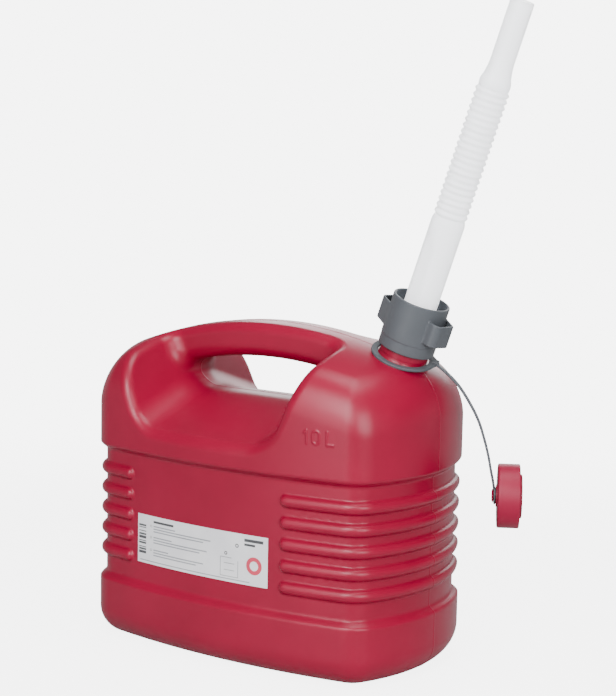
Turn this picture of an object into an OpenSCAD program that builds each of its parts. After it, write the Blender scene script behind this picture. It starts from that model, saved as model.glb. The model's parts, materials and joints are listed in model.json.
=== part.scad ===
// Ten litre jerry can with a screw-on flexible spout and a tethered cap.
// Origin: centre of the base, on the floor. +X towards the neck, -Y the labelled face, +Z up.

/* [Tank] */
// Length of the tank over its two short ends
tank_l = 330; // [260:1:420]
// Width of the tank over its two long faces
tank_w = 203; // [160:1:250]
// Height of the crown of the handle above the floor
tank_h = 291.5; // [270:0.5:350]
// Thickness of the moulded wall
wall = 2.4; // [2:0.1:4]
// Radius of the upright corners
corner_r = 32; // [24:1:40]
// How far a long face bows out between its corners
bow_front = 20.5; // [14:0.5:26]
// How far a short end bows out between its corners
bow_end = 33; // [24:0.5:40]
// Radius between the base and the sides
base_r = 25; // [18:1:30]

/* [Waist and ribs] */
// Height where the recessed waist starts
waist_z = 55; // [45:1:62]
// Height of the recessed waist
waist_h = 119.5; // [112:0.5:126]
// Depth of the recess
waist_d = 5.7; // [4:0.1:7]
// Number of ribs round each short end
rib_count = 5; // [3:1:5]
// Spacing of the ribs
rib_pitch = 18.75; // [15:0.25:19.5]
// Height of the lowest rib above the start of the waist
rib_first = 24.3; // [20:0.1:26]
// Width of a rib
rib_w = 11; // [8:0.5:13]
// Height of a rib above the waist
rib_h = 4.4; // [3:0.1:5.5]
// Distance from the right end to where its ribs stop on the long faces
rib_right = 99; // [80:1:110]
// Distance from the left end to where its ribs stop on the long faces
rib_left = 69; // [60:1:80]

/* [Handle] */
// Radius of the crown line along the tank
crown_r = 390; // [340:5:480]
// Radius of the crown across the tank
dome_r = 109; // [105:1:125]
// Radius of the shoulders at the two ends
shoulder_r = 45; // [35:1:55]
// Distance from the left end to the left wall of the scoop, at its floor
scoop_left = 82; // [70:1:95]
// Distance from the right end to the right wall of the scoop, at its floor
scoop_right = 114; // [105:1:130]
// Height of the hand hole's floor below the crown
hole_floor = 65.5; // [58:0.5:72]
// Slope of the scoop's floor towards the long faces
scoop_slope = 18.6; // [12:0.1:24]
// Width of the grip
grip_w = 46; // [36:1:54]
// Thickness of the grip
grip_t = 31; // [24:1:36]

/* [Neck] */
// Distance from the right end to the neck, at the tether ring
neck_in = 38; // [36:1:60]
// Lean of the neck towards the right end
neck_tilt = 19; // [10:0.5:22]
// Height of the neck's mouth above the tether ring
neck_h = 30; // [26:0.5:34]
// Radius of the neck outside, between its threads
neck_r = 21.1; // [17.6:0.1:25.3]
// Wall of the neck
neck_wall = 2; // [1.5:0.1:2.6]
// Depth of the neck's thread
thread_d = 1.2; // [0.8:0.1:1.4]
// Lead of the thread
thread_lead = 6; // [5:0.5:7]
// Turns of thread on the neck
thread_turns = 1.75; // [1.25:0.25:2]

/* [Locking collar] */
// Wall of the collar outside its thread
collar_wall = 2.05; // [1.8:0.05:4]
// Height of the collar's skirt, below the shelf that holds the spout down
collar_skirt = 27.6; // [24:0.1:28]
// Height of the collar's cup, above the underside of that shelf
collar_cup = 17.4; // [12:0.1:22]
// Gap between the neck's thread and the collar
thread_gap = 0.5; // [0.4:0.05:0.6]
// Height of the collar's ears
ear_h = 19.5; // [14:0.5:22]
// How far the ears stand out from the collar
ear_out = 9.5; // [7:0.25:12]
// Turn of the ears round the neck
ear_turn = 13; // [0:1:45]

/* [Spout] */
// Radius of the lower tube
tube_r = 14.4; // [12:0.1:15]
// Wall of the spout
spout_wall = 1.5; // [1.2:0.1:2]
// Length of the lower tube above its flange
tube_l = 93; // [60:1:110]
// Number of convolutions in each of the bellows' three stretches
fold_count = 7; // [5:1:9]
// Spacing of the convolutions
fold_pitch = 5.35; // [4.5:0.05:6]
// Depth of a convolution
fold_d = 1.7; // [1.2:0.1:2.2]
// Radius of the outlet tube
outlet_r = 10; // [9:0.1:10.6]
// Length of the cone between the bellows and the outlet tube
cone_l = 24; // [18:1:35]
// Length of the outlet tube
outlet_l = 50; // [40:1:70]

/* [Tether and cap] */
// Width of the tether ring's band
ring_band = 5.5; // [4:0.1:7]
// Thickness of the tether ring
ring_t = 2.4; // [1.8:0.1:3]
// Gap between the neck and the tether ring
ring_gap = 1.6; // [1.2:0.1:2]
// Tilt of the loose ring towards the front
ring_tilt = 9; // [0:1:10]
// Direction of the strap, turned from +X towards the back
strap_turn = 29.5; // [20:0.5:35]
// Width of the strap
strap_w = 8; // [6:0.5:10]
// Thickness of the strap
strap_t = 2.2; // [1.6:0.1:3]
// Wall of the cap outside its thread
cap_wall = 4.5; // [3:0.1:6]
// Height of the cap
cap_h = 19; // [16:0.5:22]
// Radius of the cap's stud, which turns in the strap's eyelet
stud_r = 4; // [3:0.1:4.8]
// Radius of the strap's eyelet
eyelet_r = 7.6; // [7:0.1:10]
// Running clearance of the stud in the eyelet
stud_gap = 0.08; // [0.03:0.01:0.1]

/* [Hidden] */
$fn = 64;

red = "#b01432";
grey = "#74787e";
natural = "#e6e8ec";
black = "#2a2a2c";

eps = 0.01;
far = 400;

// Waist and bands
waist_top = waist_z + waist_h;
// Levels of the base's outside, as [inset, height], round its lower edge and up to the waist
base_levels = concat([for (t = [90, 60, 30, 0]) base_r * [1 - cos(t), 1 - sin(t)]],
                     [[0, waist_z]]);
rib_foot = 0.62;
floor_inset = 0.64;
floor_step = base_r * 0.8;

// Scoops and hand hole
floor_z = tank_h - hole_floor;
scoop_x0 = -tank_l / 2 + scoop_left;
scoop_x1 = tank_l / 2 - scoop_right;
scoop_flare = 0.45;
scoop_corner = 16;
scoop_flat = 13;
scoop_top = 110;
scoop_back = 45;

// Neck frame: origin on the neck's axis, in the plane of the tether ring
ring_lift = 3;
ring_r = neck_r + ring_gap + ring_band;
neck_x = tank_l / 2 - neck_in;
neck_z = tank_h - crown_r + sqrt(pow(crown_r, 2) - pow(neck_x, 2)) + ring_lift;
neck_foot = 22;
root_sink = 0.4;
bore_r = neck_r - neck_wall;
thread_r = neck_r + thread_d;
thread_z0 = 13;
thread_half = 1.0;

// What stands on the neck's mouth
gasket_t = 2;
flange_t = 2.5;
flange_r = neck_r - 0.1;
seat_gap = 0.1;
shelf_z0 = neck_h + gasket_t + flange_t + seat_gap;
shelf_t = 2.4;
tube_slack = 1.2;
collar_z0 = shelf_z0 - collar_skirt;
collar_h = collar_skirt + collar_cup;
collar_root = thread_r + thread_gap;
collar_crest = neck_r + thread_gap;
collar_r = collar_root + collar_wall;
collar_cup_r = collar_root - 0.25;
collar_foot_h = 9.7;
collar_foot_step = 0.3;
ear_z0 = shelf_z0 - 12.4;
ear_wall = 2.2;
ear_bend = 7;
ear_toe = 6;
ear_toe_y = -4;
ear_root_x = 4;

// Spout
tube_z0 = shelf_z0 - seat_gap;
tube_z1 = tube_z0 + tube_l;
fold_l = fold_count * fold_pitch;
fold_r = tube_r;
fold_root = fold_r - fold_d;
cone_z0 = tube_z1 + 3 * fold_l;
cone_z1 = cone_z0 + cone_l;
tip_z = cone_z1 + outlet_l;
skirt_l = 6;
skirt_gap = 0.4;

// Tether: the strap's route, as [distance out from the ring's edge, height over the ring's centre]
route = [[-0.2, -7], [2.8, -9], [7.8, -13], [13.8, -18.5], [19.8, -25], [24.8, -32], [29.8, -40],
         [34.8, -49], [38.8, -58], [41.8, -67], [44.8, -77], [47.3, -87], [49.3, -97],
         [51.3, -106], [52.4, -112]];
eyelet_out = 53.2;
eyelet_drop = -119.5;
eyelet_t = 1.6;
eyelet_gap = 0.3;
lug_l = 7;

// Cap
cap_slack = 0.4;
cap_bore_r = collar_root + cap_slack;
cap_r = cap_bore_r + cap_wall;
cap_top = 2.6;
plug_r = bore_r - 0.2;
plug_wall = 1.8;
plug_out = 2;
stud_head = 1.5;
stud_head_r = stud_r + 2.4;
hub_r = eyelet_r + 2;
hub_t = 1.2;
cap_gasket_t = 2;

// Label on the front of the waist
label_x0 = -90;
label_x1 = 54.5;
label_z0 = 76;
label_z1 = 120;
label_t = 0.4;

// Points along an arc from angle a to angle b.
function arc(c, r, a, b, n) =
    [for (k = [0 : n]) let (t = a + (b - a) * k / n) c + r * [cos(t), sin(t)]];

// One quarter of the tank's plan, inset by i: half the end, a corner and half the long face.
function plan_quarter(i) =
    let (l = tank_l / 2 - i, w = tank_w / 2 - i, r = corner_r - i,
         rf = l * l / (2 * bow_front), re = w * w / (2 * bow_end),
         pa = [0, w - rf], pb = [l - re, 0], ra = rf - r, rb = re - r,
         d = norm(pb - pa), s = (d * d + ra * ra - rb * rb) / (2 * d), h = sqrt(ra * ra - s * s),
         e = (pb - pa) / d, c = pa + s * e + h * [e[1], -e[0]],
         t1 = atan2(c[1] - pb[1], c[0] - pb[0]), t2 = atan2(c[1] - pa[1], c[0] - pa[0]))
    concat(arc(pb, re, 0, t1, 3), arc(c, r, t1, t2, 4), arc(pa, rf, t2, 90, 5));

function dedupe(p) = [for (k = [0 : len(p) - 1]) if (k == 0 || norm(p[k] - p[k - 1]) > eps) p[k]];
function reversed(p) = [for (k = [len(p) - 1 : -1 : 0]) p[k]];
function flipped(p, sx, sy) = [for (q = p) [sx * q[0], sy * q[1]]];
function ring_points(q) =
    let (p = dedupe(concat(q, reversed(flipped(q, -1, 1)), flipped(q, -1, -1),
                           reversed(flipped(q, 1, -1)))))
    [for (k = [0 : len(p) - 2]) p[k]];

module plan(i) {
    polygon(ring_points(plan_quarter(i)));
}

module slab(i, z0, z1) {
    translate([0, 0, z0]) linear_extrude(z1 - z0) plan(i);
}

// Places its children on the neck's axis.
module on_neck() {
    translate([neck_x, 0, neck_z]) rotate([0, neck_tilt, 0]) children();
}

// Turns a section drawn as [radius, y] about the crown line's centre.
module along_crown(from, to) {
    translate([0, 0, tank_h - crown_r]) rotate([90, 0, 0])
        rotate_extrude(angle = to - from, start = from) children();
}

// The domed top, taken in by i all over.
module crown(i) {
    along_crown(50, 130) translate([crown_r - dome_r, 0]) circle(dome_r - i);
}

// Side view of the upper section with rounded shoulders, taken in by i.
module side_profile(i) {
    c = [tank_l / 2 - shoulder_r, tank_h - crown_r
         + sqrt(pow(crown_r - shoulder_r, 2) - pow(tank_l / 2 - shoulder_r, 2))];
    lean = asin(c[0] / (crown_r - shoulder_r));
    right = arc(c, shoulder_r - i, 0, 90 - lean, 8);
    top = [0, crown_r * 1.2 + tank_h - crown_r];
    rotate([90, 0, 0]) linear_extrude(far, center = true)
        polygon(concat([[-tank_l / 2 + i, 0], [tank_l / 2 - i, 0]], right, [top],
                       reversed(flipped(right, -1, 1))));
}

// The base's outside: the plan's outline at each level, joined into one skin.
module base_band() {
    rings = [for (level = base_levels) ring_points(plan_quarter(level[0]))];
    n = len(rings[0]);
    rows = len(rings);
    points = [for (k = [0 : rows - 1]) for (q = rings[k]) [q[0], q[1], base_levels[k][1]]];
    sides = [for (k = [0 : rows - 2]) for (j = [0 : n - 1])
        let (a = n * k + j, b = n * k + (j + 1) % n)
        each [[a, a + n, b + n], [a, b + n, b]]];
    ends = [[for (j = [0 : n - 1]) j], [for (j = [n - 1 : -1 : 0]) n * (rows - 1) + j]];
    polyhedron(points, concat(sides, ends), convexity = 2);
}

// Everything past the ribs' round ends, on both short ends.
module rib_zone() {
    translate([tank_l / 2 - rib_right, -far / 2, 0]) cube([far, far, far]);
    translate([-tank_l / 2 + rib_left - far, -far / 2, 0]) cube([far, far, far]);
}

module ribs() {
    intersection() {
        for (k = [0 : rib_count - 1]) {
            z = waist_z + rib_first + k * rib_pitch;
            slab(waist_d - rib_h * rib_foot, z - rib_w / 2, z + rib_w / 2);
            slab(waist_d - rib_h, z - rib_w / 4, z + rib_w / 4);
        }
        rib_zone();
    }
}

// The scoops' outline seen from the side, grown by g.
module scoop_outline(g) {
    r = scoop_corner + g;
    a = atan(scoop_flare);
    x0 = scoop_x0 + scoop_corner / 2;
    x1 = scoop_x1 - scoop_corner / 2;
    reach = r * cos(a) + scoop_flare * (scoop_top - scoop_corner + r * sin(a));
    polygon(concat([[x0 - reach, scoop_top]],
                   arc([x0, scoop_corner], r, 180 + a, 270, 4),
                   arc([x1, scoop_corner], r, 270, 360 - a, 4),
                   [[x1 + reach, scoop_top]]));
}

// Both scoops and the hand hole as one void, grown by g.
module scoops(g) {
    translate([0, 0, floor_z]) rotate([90, 0, 0])
        linear_extrude(2 * scoop_flat, center = true) scoop_outline(g);
    for (side = [0, 1])
        mirror([0, side, 0]) translate([0, -scoop_flat + 1, floor_z])
            rotate([90 + scoop_slope, 0, 0]) translate([0, 0, -scoop_back])
                linear_extrude(far / 2) scoop_outline(g);
}

// Cross-section of the grip as [radius, y], taken in by i.
module grip_section(i) {
    r = grip_t * 0.42 - i;
    translate([crown_r - grip_t / 2, 0]) {
        square([grip_t - 2 * i, grip_w - 2 * (i + r)], center = true);
        square([grip_t - 2 * (i + r), grip_w - 2 * i], center = true);
        for (u = [-1, 1], v = [-1, 1])
            translate([u * (grip_t / 2 - i - r), v * (grip_w / 2 - i - r)]) circle(r);
    }
}

module grip(i) {
    along_crown(78, 110) grip_section(i);
}

// The upper section without its scoops, taken in by i.
module upper_solid(i) {
    intersection() {
        slab(i, waist_top + i, tank_h + 1);
        crown(i);
        side_profile(i);
    }
}

module upper_shell() {
    difference() {
        upper_solid(0);
        scoops(0);
    }
    intersection() {
        grip(0);
        side_profile(0);
    }
}

// The hollow inside the base.
module base_cavity() {
    slab(base_r * floor_inset, wall, floor_step);
    slab(wall, floor_step - eps, waist_z - wall);
}

// The hollow inside the waist, which runs a wall's thickness into the base and the shoulders.
module waist_cavity() {
    slab(waist_d + wall, waist_z - wall - eps, waist_top + wall + eps);
}

// The hollow inside the shoulders and the grip.
module upper_cavity() {
    difference() {
        upper_solid(wall);
        scoops(wall);
    }
    intersection() {
        grip(wall);
        side_profile(wall);
    }
}

// A helical ridge of trapezoid section, base at radius r0 and crest at radius r1.
module thread_ridge(r0, r1, half, turns, z0) {
    n = 36;
    count = floor(turns * n);
    outward = [[r0, -half - 0.6], [r1, -half], [r1, half], [r0, half + 0.6]];
    section = r1 > r0 ? outward : reversed(outward);
    points = [for (k = [0 : count]) for (q = section)
        [q[0] * cos(k * 360 / n), q[0] * sin(k * 360 / n), z0 + q[1] + thread_lead * k / n]];
    sides = [for (k = [0 : count - 1]) for (j = [0 : 3])
        let (a = 4 * k + j, b = 4 * k + (j + 1) % 4)
        each [[a, b, b + 4], [a, b + 4, a + 4]]];
    ends = [[3, 2, 1, 0], [for (j = [0 : 3]) 4 * count + j]];
    polyhedron(points, concat(sides, ends), convexity = 6);
}

module neck() {
    translate([0, 0, -neck_foot]) cylinder(r = neck_r, h = neck_foot + neck_h);
    thread_ridge(neck_r - root_sink, thread_r, thread_half, thread_turns, thread_z0);
}

module neck_bore() {
    on_neck() translate([0, 0, -neck_foot - 10]) cylinder(r = bore_r, h = far / 4);
}

// The tank is one moulding, drawn as four nodes that meet on flat and crowned faces.
module tank_base() {
    color(red) difference() {
        base_band();
        base_cavity();
        waist_cavity();
    }
}

module tank_waist() {
    color(red) difference() {
        union() {
            slab(waist_d, waist_z, waist_top);
            ribs();
        }
        waist_cavity();
    }
}

module tank_shoulders() {
    color(red) difference() {
        upper_shell();
        waist_cavity();
        upper_cavity();
        neck_bore();
    }
}

module tank_neck() {
    color(red) difference() {
        on_neck() neck();
        upper_solid(0);
        neck_bore();
    }
}

module front_label() {
    color("white") intersection() {
        difference() {
            slab(waist_d - label_t, label_z0, label_z1);
            slab(waist_d, label_z0 - 1, label_z1 + 1);
        }
        translate([label_x0, -tank_w, 0]) cube([label_x1 - label_x0, tank_w, tank_h]);
    }
}

module spout_gasket() {
    color(black) on_neck() translate([0, 0, neck_h]) difference() {
        cylinder(r = neck_r, h = gasket_t);
        translate([0, 0, -1]) cylinder(r = bore_r, h = gasket_t + 2);
    }
}

// One ear's outline: it leaves the collar along a tangent and comes straight back in.
module ear_outline(i) {
    out = collar_r + ear_out - i;
    polygon(concat([[ear_root_x + i / 2, collar_r - i]],
                   arc([out - ear_bend + i, ear_bend], ear_bend - i, 62, 0, 4),
                   arc([out - ear_toe + i, ear_toe_y], ear_toe - i, 0, -90, 4),
                   [[collar_r - ear_root_x, ear_toe_y - ear_toe + i], [0, 0]]));
}

module locking_collar() {
    color(grey) on_neck() {
        difference() {
            union() {
                translate([0, 0, collar_z0])
                    cylinder(r = collar_r - collar_foot_step, h = collar_foot_h);
                translate([0, 0, collar_z0 + collar_foot_h])
                    cylinder(r = collar_r, h = collar_h - collar_foot_h);
                for (s = [0, 180])
                    rotate([0, 0, s - ear_turn]) translate([0, 0, ear_z0]) linear_extrude(ear_h)
                        difference() {
                            ear_outline(0);
                            difference() {
                                ear_outline(ear_wall);
                                circle(collar_r);
                            }
                        }
            }
            translate([0, 0, collar_z0 - 1])
                cylinder(r = collar_root, h = shelf_z0 - collar_z0 + 1);
            translate([0, 0, shelf_z0 - 1]) cylinder(r = tube_r + tube_slack, h = collar_h);
            translate([0, 0, shelf_z0 + shelf_t]) cylinder(r = collar_cup_r, h = collar_h);
        }
        rotate([0, 0, 180]) thread_ridge(collar_root + root_sink, collar_crest,
                                         thread_half - 0.2, thread_turns - 0.5, thread_z0);
    }
}

module tube(r0, r1, z0, z1, t) {
    rotate_extrude() polygon([[r0 - t, z0], [r0, z0], [r1, z1], [r1 - t, z1]]);
}

module spout_base() {
    color(natural) on_neck() {
        translate([0, 0, neck_h + gasket_t]) difference() {
            cylinder(r = flange_r, h = flange_t);
            translate([0, 0, -1]) cylinder(r = tube_r - spout_wall, h = flange_t + 2);
        }
        tube(bore_r - skirt_gap, bore_r - skirt_gap, neck_h + gasket_t - skirt_l,
             neck_h + gasket_t + eps, spout_wall);
        tube(tube_r, fold_root, tube_z0 - eps, tube_z1, spout_wall);
    }
}

module bellows(part) {
    z0 = tube_z1 + part * fold_l;
    outside = [for (k = [0 : fold_count - 1]) let (z = z0 + k * fold_pitch)
        each [[fold_root, z], [fold_r, z + fold_pitch * 0.35], [fold_r, z + fold_pitch * 0.65]]];
    inside = [for (q = outside) [q[0] - spout_wall, q[1]]];
    end = [fold_root, z0 + fold_l];
    color(natural) on_neck() rotate_extrude()
        polygon(concat(outside, [end, end - [spout_wall, 0]], reversed(inside)));
}

module bellows_lower() {
    bellows(0);
}

module bellows_middle() {
    bellows(1);
}

module bellows_upper() {
    bellows(2);
}

module spout_outlet() {
    color(natural) on_neck() {
        tube(fold_root, outlet_r, cone_z0, cone_z1, spout_wall);
        tube(outlet_r, outlet_r, cone_z1 - eps, tip_z, spout_wall);
    }
}

// Places its children at the loose ring's centre, +X along the strap.
module on_ring() {
    translate([neck_x, 0, neck_z]) rotate([ring_tilt, 0, 0]) rotate([0, neck_tilt, 0]) children();
}

module tether_ring() {
    inner = neck_r + ring_gap;
    color(grey) difference() {
        union() {
            on_ring() translate([0, 0, -ring_t / 2]) cylinder(r = ring_r, h = ring_t);
            strap_plane() translate([route[0][0] - lug_l, route[0][1]]) lug();
        }
        on_ring() translate([0, 0, -ring_t]) cylinder(r = inner, h = 2 * ring_t);
    }
}

// Upright plane that the strap hangs in: child x is outwards from the ring's edge, y is up.
module strap_plane() {
    translate([neck_x, 0, neck_z]) rotate([0, 0, strap_turn]) translate([ring_r, 0, 0])
        rotate([90, 0, 0]) children();
}

// Root of the strap: a flat tab that leaves the ring downhill and ends where the strap begins.
module lug() {
    a = atan2(route[1][1] - route[0][1], route[1][0] - route[0][0]);
    translate([lug_l, 0, 0]) rotate([0, 0, a]) translate([-lug_l, -strap_t / 2, 0])
        linear_extrude(strap_w, center = true) square([lug_l, strap_t]);
}

function route_dir(k) =
    let (a = route[max(k - 1, 0)], b = route[min(k + 1, len(route) - 1)]) (b - a) / norm(b - a);

// Flat strap swept along its route, with rounded edges.
module strap_sweep() {
    sides = 8;
    n = len(route);
    points = [for (k = [0 : n - 1]) let (d = route_dir(k), m = [-d[1], d[0]])
        for (j = [0 : sides - 1]) let (t = 22.5 + j * 360 / sides,
            u = strap_t / 2 * sin(t) / sin(67.5), v = strap_w / 2 * cos(t) / cos(22.5))
        [route[k][0] + m[0] * u, route[k][1] + m[1] * u, v]];
    skin = [for (k = [0 : n - 2]) for (j = [0 : sides - 1])
        let (a = sides * k + j, b = sides * k + (j + 1) % sides)
        each [[a, b, b + sides], [a, b + sides, a + sides]]];
    ends = [[for (j = [sides - 1 : -1 : 0]) j],
            [for (j = [0 : sides - 1]) sides * (n - 1) + j]];
    polyhedron(points, concat(skin, ends), convexity = 4);
}

// Places its children at the eyelet's centre, +Z along the cap's axis, away from the can.
module on_eyelet() {
    strap_plane() translate([eyelet_out, eyelet_drop, 0]) rotate([0, 90, 0]) children();
}

module tether_strap() {
    color(grey) difference() {
        union() {
            strap_plane() strap_sweep();
            on_eyelet() translate([0, 0, -eyelet_t / 2]) cylinder(r = eyelet_r, h = eyelet_t);
        }
        on_eyelet() translate([0, 0, -eyelet_t]) cylinder(r = stud_r + stud_gap, h = 2 * eyelet_t);
    }
}

module screw_cap() {
    face = eyelet_t / 2 + eyelet_gap;
    color(red) on_eyelet() {
        translate([0, 0, -face - stud_head]) cylinder(r1 = stud_r, r2 = stud_head_r, h = stud_head);
        translate([0, 0, -face - eps]) cylinder(r = stud_r, h = 2 * face + 2 * eps);
        translate([0, 0, face]) cylinder(r = hub_r, h = hub_t + eps);
        translate([0, 0, face + hub_t]) difference() {
            cylinder(r = cap_r, h = cap_h);
            translate([0, 0, cap_top]) cylinder(r = cap_bore_r, h = cap_h);
        }
        translate([0, 0, face + hub_t + cap_top - eps]) difference() {
            cylinder(r = plug_r, h = cap_h - cap_top + plug_out);
            translate([0, 0, -1]) cylinder(r = plug_r - plug_wall, h = cap_h + plug_out);
        }
    }
}

module cap_gasket() {
    color(black) on_eyelet() translate([0, 0, eyelet_t / 2 + eyelet_gap + hub_t + cap_top])
        difference() {
            cylinder(r = collar_root, h = cap_gasket_t);
            translate([0, 0, -1]) cylinder(r = plug_r + 0.05, h = cap_gasket_t + 2);
        }
}

tank_base();
tank_waist();
tank_shoulders();
tank_neck();
front_label();
spout_gasket();
locking_collar();
spout_base();
bellows_lower();
bellows_middle();
bellows_upper();
spout_outlet();
tether_ring();
tether_strap();
screw_cap();
cap_gasket();
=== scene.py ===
"""A ten litre jerry can with its pouring spout fitted and its cap hanging on a tether.

Everything is in metres, in the shared frame: the origin is the centre of the base, +X runs
towards the neck, -Y is the labelled face and +Z is up. The moulded parts are described as fields,
which are negative inside the part, and surface_net() turns a field into a mesh.
"""

import json
import math

import bpy
import numpy as np
from mathutils import Matrix, Vector


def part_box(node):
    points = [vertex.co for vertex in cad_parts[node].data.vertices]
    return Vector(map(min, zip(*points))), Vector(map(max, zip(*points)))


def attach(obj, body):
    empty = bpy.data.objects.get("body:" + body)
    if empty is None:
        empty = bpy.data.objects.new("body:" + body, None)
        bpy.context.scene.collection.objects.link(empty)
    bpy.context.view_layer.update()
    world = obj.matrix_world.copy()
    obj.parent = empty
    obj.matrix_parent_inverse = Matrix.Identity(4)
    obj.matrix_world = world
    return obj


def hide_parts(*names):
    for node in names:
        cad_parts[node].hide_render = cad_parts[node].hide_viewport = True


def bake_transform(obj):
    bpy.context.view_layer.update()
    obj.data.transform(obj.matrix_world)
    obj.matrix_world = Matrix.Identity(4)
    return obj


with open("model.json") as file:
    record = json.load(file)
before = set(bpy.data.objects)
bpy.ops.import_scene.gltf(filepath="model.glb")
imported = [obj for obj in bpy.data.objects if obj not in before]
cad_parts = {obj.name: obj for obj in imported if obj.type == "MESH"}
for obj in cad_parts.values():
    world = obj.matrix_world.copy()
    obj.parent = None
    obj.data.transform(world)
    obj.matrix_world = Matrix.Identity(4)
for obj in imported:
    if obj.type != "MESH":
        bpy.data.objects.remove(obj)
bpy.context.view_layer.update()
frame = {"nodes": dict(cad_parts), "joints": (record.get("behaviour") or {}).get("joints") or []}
joints = {j["name"]: j for j in frame["joints"]}
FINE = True

# ---------------------------------------------------------------- sizes

TANK_LOW, TANK_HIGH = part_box("tank_base")
HALF_LENGTH = (TANK_HIGH.x - TANK_LOW.x) / 2
HALF_WIDTH = (TANK_HIGH.y - TANK_LOW.y) / 2
CROWN = 0.2915
BOW_FRONT = 0.0205
BOW_END = 0.033
CORNER_R = 0.032
BASE_R = 0.025

WAIST_FOOT = 0.0556
WAIST_HEAD = 0.1745
WAIST_DEPTH = 0.0057
STEP_HEIGHT = 0.0068
RIB_COUNT = 5
RIB_FIRST = 0.0793
RIB_PITCH = 0.01875
RIB_HEIGHT = 0.0044
RIB_WIDTH = 0.011
RIB_STOP_RIGHT = 0.066
RIB_STOP_LEFT = -0.096

CROWN_R = 0.390
DOME_R = 0.210
DOME_STEEP = math.radians(60)
SHOULDER_R = 0.030
EDGE_R = 0.026
SEAM_HEIGHT = 0.00025
SEAM_WIDTH = 0.0005
SCOOP_X0 = -0.083
SCOOP_X1 = 0.051
SCOOP_FLOOR = 0.226
SCOOP_SLOPE = math.tan(math.radians(18.6))
SCOOP_HUMP = 0.013
SCOOP_FLARE = math.radians(24.2)
SCOOP_CORNER = 0.016
SCOOP_EDGE = 0.009
GRIP_WIDTH = 0.046
GRIP_DEPTH = 0.031
GRIP_CORNER = 0.012
GRIP_FILLET = 0.014

NECK_TILT = math.radians(19)
NECK_AT = Vector(joints["collar_turn"]["pos_m"])
NECK_R = 0.0211
NECK_WALL = 0.002
NECK_HEIGHT = 0.030
NECK_FILLET = 0.004
NECK_STUB = (-0.030, 0.006)
THREAD_DEPTH = 0.0012
THREAD_LEAD = 0.006
THREAD_START = 0.013
THREAD_TURNS = 1.75

COLLAR_R = 0.02485
COLLAR_LOW = 0.007
COLLAR_HEIGHT = 0.045
COLLAR_BORE = 0.0228
COLLAR_GROOVE = 0.0097
SHELF_LOW = 0.0346
SHELF_THICK = 0.0024
CUP_WALL = 0.0023
THREAD_CREST = 0.0010
COLLAR_THREAD = (0.011, 0.026)
TUBE_SLACK = 0.0012
EAR_LOW = 0.0222
EAR_HEIGHT = 0.0195
EAR_WALL = 0.0022
EAR_TURN = math.radians(13)
EAR_OUT = 0.02785
EAR_R = 0.0065
EAR_SPAN = (-0.0035, 0.007)

GASKET_THICK = 0.002
FLANGE_THICK = 0.0025
FLANGE_R = 0.021
TUBE_R = 0.0144
SPOUT_WALL = 0.0015
TUBE_END = 0.1275
FOLD_COUNT = 7
FOLD_PITCH = 0.00535
FOLD_DEPTH = 0.0017
NEAR_FOLDS = 10
FAR_FOLDS = 11
FLUTE_FACING = math.radians(-100)
FLUTE_WIDTH = 0.62
SKIRT_LENGTH = 0.006
SKIRT_GAP = 0.0004
OUTLET_R = 0.010
CONE_LENGTH = 0.024
OUTLET_LENGTH = 0.050

RING_R = 0.0282
RING_HOLE = 0.0227
RING_THICK = 0.0024
RING_TILT = math.radians(9)
STRAP_TURN = math.radians(29.5)
STRAP_WIDTH = 0.008
STRAP_THICK = 0.0022
TAB_END = 0.0315
TAB_START = 0.018
# The strap's route: distance out from the neck's axis, and height over the ring's centre.
ROUTE = [
    (0.028, -0.007), (0.031, -0.009), (0.036, -0.013), (0.042, -0.0185), (0.048, -0.025),
    (0.053, -0.032), (0.058, -0.040), (0.063, -0.049), (0.067, -0.058), (0.070, -0.067),
    (0.073, -0.077), (0.0755, -0.087), (0.0775, -0.097), (0.0795, -0.106), (0.0806, -0.112),
]
EYELET_R = 0.0076
EYELET_THICK = 0.0016
EYELET_GAP = 0.0003
STUD_R = 0.004
STUD_HEAD = 0.0015
STUD_HEAD_R = 0.0064
HUB_R = 0.0096
HUB_THICK = 0.0012
CAP_R = 0.0277
CAP_HEIGHT = 0.019
CAP_TOP = 0.0026
CAP_BORE = 0.0232
PLUG_R = 0.0189
PLUG_WALL = 0.0018
PLUG_OUT = 0.002

LABEL_X = (-0.090, 0.0545)
LABEL_Z = (0.076, 0.120)
LABEL_THICK = 0.0003

# Frames that the small parts are built in.
ON_NECK = Matrix.Translation(NECK_AT) @ Matrix.Rotation(NECK_TILT, 4, "Y")
ON_RING = (
    Matrix.Translation(NECK_AT)
    @ Matrix.Rotation(RING_TILT, 4, "X")
    @ Matrix.Rotation(NECK_TILT, 4, "Y")
)
OUTWARD = Vector((math.cos(STRAP_TURN), math.sin(STRAP_TURN), 0))
ACROSS = Vector((-math.sin(STRAP_TURN), math.cos(STRAP_TURN), 0))
EYELET_AT = Vector(joints["cap_spin"]["pos_m"])
EYELET_AT_OUT = (EYELET_AT - NECK_AT).dot(OUTWARD)
ON_EYELET = (
    Matrix.Translation(EYELET_AT)
    @ Matrix.Rotation(STRAP_TURN, 4, "Z")
    @ Matrix.Rotation(math.pi / 2, 4, "Y")
)

# ---------------------------------------------------------------- camera

CAMERA_TARGET = Vector((0.0287, 0, 0.2701))
CAMERA_DISTANCE = 1.5873
CAMERA_AZIMUTH = math.radians(33.81)
CAMERA_PITCH = math.radians(8.11)
CAMERA_ROLL = math.radians(1.09)
CAMERA_LENS = 104.8
CAMERA_SENSOR = 36


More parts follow.
